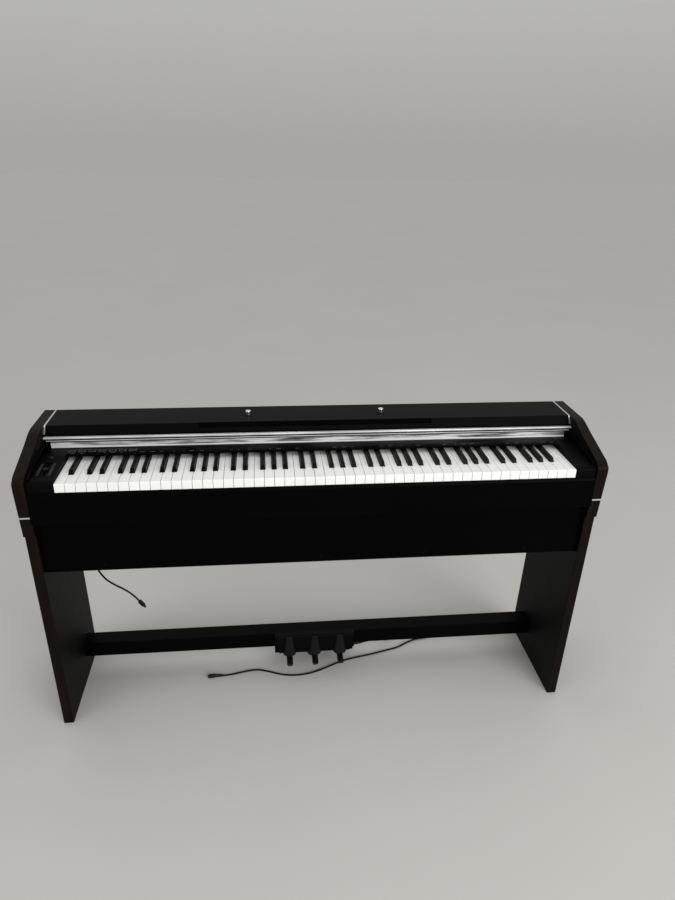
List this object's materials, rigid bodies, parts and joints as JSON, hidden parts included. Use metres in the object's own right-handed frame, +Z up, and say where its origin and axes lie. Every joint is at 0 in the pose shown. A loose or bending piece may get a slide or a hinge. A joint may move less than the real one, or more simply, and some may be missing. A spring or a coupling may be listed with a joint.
{
  "type": "digital piano",
  "caption": "Console digital piano with full keyboard, sliding key cover, side-panel stand, knee board, crossbar and three pedals.",
  "frame": {"origin": "on the floor, at the middle of the piano's width and depth without its cords", "axes": "+X to the player's right, +Y from the player to the rear, +Z up"},
  "size_m": [1.386, 0.3941, 0.8195],
  "materials": {
    "dark_wood": "satin",
    "leg_wood": "satin",
    "satin_black_board": "satin",
    "plain_board": "matt",
    "silver_trim": "brushed",
    "satin_black_plastic": "satin",
    "gloss_black_plastic": "gloss",
    "cover_black": "satin",
    "key_frame_plastic": "matt",
    "steel": "ground",
    "circuit_green": "satin",
    "speaker_black": "matt",
    "white_key": "gloss",
    "black_key": "satin",
    "pedal_housing_black": "satin",
    "pedal_metal": "gloss",
    "button_black": "satin",
    "knob_chrome": "polished",
    "foot_rubber": "matt",
    "cord_black": "matt",
    "plug_black": "satin"
  },
  "bodies": {
    "cabinet": {"side_panel_left": "dark_wood", "side_panel_right": "dark_wood", "leg_left": "leg_wood", "leg_right": "leg_wood", "top_board": "satin_black_board", "rear_panel": "plain_board", "key_bed": "plain_board", "case_front": "satin_black_board", "knee_board": "satin_black_board", "screw_caps": "satin_black_plastic", "silver_trims": "silver_trim", "key_frame": "key_frame_plastic", "key_pivot_rod": "steel", "circuit_boards": "circuit_green", "speakers": "speaker_black", "cheek_left": "satin_black_plastic", "cheek_right": "satin_black_plastic", "control_panel": "gloss_black_plastic", "band_panel": "silver_trim", "guide_rails": "satin_black_plastic", "crossbar_top": "satin_black_board", "crossbar_aprons": "satin_black_board", "pedal_housing": "pedal_housing_black", "pedal_axle": "steel", "pedal_cord": "cord_black", "pedal_cord_relief": "plug_black", "pedal_cord_plug": "plug_black", "hanging_cord": "cord_black", "hanging_cord_relief": "plug_black", "hanging_cord_plug": "plug_black"},
    "cover_front_leaf": {"cover_front": "cover_black", "cover_lip": "silver_trim"},
    "cover_rear_leaf": {"cover_rear": "cover_black"},
    "keys_a_body": {"keys_a": "white_key"},
    "keys_b_body": {"keys_b": "white_key"},
    "keys_c_body": {"keys_c": "white_key"},
    "keys_d_body": {"keys_d": "white_key"},
    "keys_e_body": {"keys_e": "white_key"},
    "keys_f_body": {"keys_f": "white_key"},
    "keys_g_body": {"keys_g": "white_key"},
    "keys_a_sharp_body": {"keys_a_sharp": "black_key"},
    "keys_c_sharp_body": {"keys_c_sharp": "black_key"},
    "keys_d_sharp_body": {"keys_d_sharp": "black_key"},
    "keys_f_sharp_body": {"keys_f_sharp": "black_key"},
    "keys_g_sharp_body": {"keys_g_sharp": "black_key"},
    "pedal_left_body": {"pedal_left": "pedal_metal"},
    "pedal_middle_body": {"pedal_middle": "pedal_metal"},
    "pedal_right_body": {"pedal_right": "pedal_metal"},
    "volume_slider_body": {"volume_slider": "button_black"},
    "power_button_body": {"power_button": "button_black"},
    "thumb_knob_left_body": {"thumb_knob_left": "knob_chrome"},
    "thumb_knob_right_body": {"thumb_knob_right": "knob_chrome"},
    "adjuster_foot_body": {"adjuster_foot": "foot_rubber"},
    "function_button_1_body": {"function_button_1": "button_black"},
    "function_button_2_body": {"function_button_2": "button_black"},
    "function_button_3_body": {"function_button_3": "button_black"},
    "function_button_4_body": {"function_button_4": "button_black"},
    "function_button_5_body": {"function_button_5": "button_black"},
    "function_button_6_body": {"function_button_6": "button_black"},
    "function_button_7_body": {"function_button_7": "button_black"}
  },
  "joints": [
    {"name": "cover_slide", "type": "slide", "parent": "cabinet", "child": "cover_front_leaf", "axis": [0, -0.9877, -0.1564], "range_m": [0, 0.166]},
    {"name": "cover_rear_slide", "type": "slide", "parent": "cabinet", "child": "cover_rear_leaf", "axis": [0, -0.9877, -0.1564], "range_m": [0, 0.0835]},
    {"name": "keys_a_press", "type": "hinge", "parent": "cabinet", "child": "keys_a_body", "pos_m": [0, 0.056, 0.712], "axis": [1, 0, 0], "range_deg": [0, 2.6], "stiffness_Nm_per_rad": 4, "springref_deg": -28.65},
    {"name": "keys_b_press", "type": "hinge", "parent": "cabinet", "child": "keys_b_body", "pos_m": [0, 0.056, 0.712], "axis": [1, 0, 0], "range_deg": [0, 2.6], "stiffness_Nm_per_rad": 4, "springref_deg": -28.65},
    {"name": "keys_c_press", "type": "hinge", "parent": "cabinet", "child": "keys_c_body", "pos_m": [0, 0.056, 0.712], "axis": [1, 0, 0], "range_deg": [0, 2.6], "stiffness_Nm_per_rad": 4, "springref_deg": -28.65},
    {"name": "keys_d_press", "type": "hinge", "parent": "cabinet", "child": "keys_d_body", "pos_m": [0, 0.056, 0.712], "axis": [1, 0, 0], "range_deg": [0, 2.6], "stiffness_Nm_per_rad": 4, "springref_deg": -28.65},
    {"name": "keys_e_press", "type": "hinge", "parent": "cabinet", "child": "keys_e_body", "pos_m": [0, 0.056, 0.712], "axis": [1, 0, 0], "range_deg": [0, 2.6], "stiffness_Nm_per_rad": 4, "springref_deg": -28.65},
    {"name": "keys_f_press", "type": "hinge", "parent": "cabinet", "child": "keys_f_body", "pos_m": [0, 0.056, 0.712], "axis": [1, 0, 0], "range_deg": [0, 2.6], "stiffness_Nm_per_rad": 4, "springref_deg": -28.65},
    {"name": "keys_g_press", "type": "hinge", "parent": "cabinet", "child": "keys_g_body", "pos_m": [0, 0.056, 0.712], "axis": [1, 0, 0], "range_deg": [0, 2.6], "stiffness_Nm_per_rad": 4, "springref_deg": -28.65},
    {"name": "keys_a_sharp_press", "type": "hinge", "parent": "cabinet", "child": "keys_a_sharp_body", "pos_m": [0, 0.056, 0.712], "axis": [1, 0, 0], "range_deg": [0, 2.6], "stiffness_Nm_per_rad": 4, "springref_deg": -12.61},
    {"name": "keys_c_sharp_press", "type": "hinge", "parent": "cabinet", "child": "keys_c_sharp_body", "pos_m": [0, 0.056, 0.712], "axis": [1, 0, 0], "range_deg": [0, 2.6], "stiffness_Nm_per_rad": 4, "springref_deg": -12.61},
    {"name": "keys_d_sharp_press", "type": "hinge", "parent": "cabinet", "child": "keys_d_sharp_body", "pos_m": [0, 0.056, 0.712], "axis": [1, 0, 0], "range_deg": [0, 2.6], "stiffness_Nm_per_rad": 4, "springref_deg": -12.61},
    {"name": "keys_f_sharp_press", "type": "hinge", "parent": "cabinet", "child": "keys_f_sharp_body", "pos_m": [0, 0.056, 0.712], "axis": [1, 0, 0], "range_deg": [0, 2.6], "stiffness_Nm_per_rad": 4, "springref_deg": -12.61},
    {"name": "keys_g_sharp_press", "type": "hinge", "parent": "cabinet", "child": "keys_g_sharp_body", "pos_m": [0, 0.056, 0.712], "axis": [1, 0, 0], "range_deg": [0, 2.6], "stiffness_Nm_per_rad": 4, "springref_deg": -12.61},
    {"name": "pedal_left_press", "type": "hinge", "parent": "cabinet", "child": "pedal_left_body", "pos_m": [0, 0.102, 0.047], "axis": [1, 0, 0], "range_deg": [0, 7], "stiffness_Nm_per_rad": 6, "springref_deg": -14.32},
    {"name": "pedal_middle_press", "type": "hinge", "parent": "cabinet", "child": "pedal_middle_body", "pos_m": [0, 0.102, 0.047], "axis": [1, 0, 0], "range_deg": [0, 7], "stiffness_Nm_per_rad": 6, "springref_deg": -14.32},
    {"name": "pedal_right_press", "type": "hinge", "parent": "cabinet", "child": "pedal_right_body", "pos_m": [0, 0.102, 0.047], "axis": [1, 0, 0], "range_deg": [0, 7], "stiffness_Nm_per_rad": 6, "springref_deg": -14.32},
    {"name": "volume_slide", "type": "slide", "parent": "cabinet", "child": "volume_slider_body", "axis": [0, 0.997, 0.0774], "range_m": [-0.019, 0.019]},
    {"name": "power_press", "type": "slide", "parent": "cabinet", "child": "power_button_body", "axis": [0, 0, -1], "range_m": [0, 0.002], "stiffness_N_per_m": 600, "springref_m": -0.002},
    {"name": "function_1_press", "type": "slide", "parent": "cabinet", "child": "function_button_1_body", "axis": [0, 0, -1], "range_m": [0, 0.001], "stiffness_N_per_m": 500, "springref_m": -0.001},
    {"name": "function_2_press", "type": "slide", "parent": "cabinet", "child": "function_button_2_body", "axis": [0, 0, -1], "range_m": [0, 0.001], "stiffness_N_per_m": 500, "springref_m": -0.001},
    {"name": "function_3_press", "type": "slide", "parent": "cabinet", "child": "function_button_3_body", "axis": [0, 0, -1], "range_m": [0, 0.001], "stiffness_N_per_m": 500, "springref_m": -0.001},
    {"name": "function_4_press", "type": "slide", "parent": "cabinet", "child": "function_button_4_body", "axis": [0, 0, -1], "range_m": [0, 0.001], "stiffness_N_per_m": 500, "springref_m": -0.001},
    {"name": "function_5_press", "type": "slide", "parent": "cabinet", "child": "function_button_5_body", "axis": [0, 0, -1], "range_m": [0, 0.001], "stiffness_N_per_m": 500, "springref_m": -0.001},
    {"name": "function_6_press", "type": "slide", "parent": "cabinet", "child": "function_button_6_body", "axis": [0, 0, -1], "range_m": [0, 0.001], "stiffness_N_per_m": 500, "springref_m": -0.001},
    {"name": "function_7_press", "type": "slide", "parent": "cabinet", "child": "function_button_7_body", "axis": [0, 0, -1], "range_m": [0, 0.001], "stiffness_N_per_m": 500, "springref_m": -0.001},
    {"name": "thumb_knob_left_turn", "type": "hinge", "parent": "cabinet", "child": "thumb_knob_left_body", "pos_m": [-0.174, 0.072, 0.809], "axis": [0, 0, 1], "continuous": true},
    {"name": "thumb_knob_right_turn", "type": "hinge", "parent": "cabinet", "child": "thumb_knob_right_body", "pos_m": [0.171, 0.072, 0.809], "axis": [0, 0, 1], "continuous": true},
    {"name": "adjuster_turn", "type": "hinge", "parent": "cabinet", "child": "adjuster_foot_body", "pos_m": [0, 0.098, 0.015], "axis": [0, 0, 1], "continuous": true}
  ],
  "couplings": [
    {"joint": "cover_rear_slide", "follows": "cover_slide", "ratio": 0.5}
  ]
}
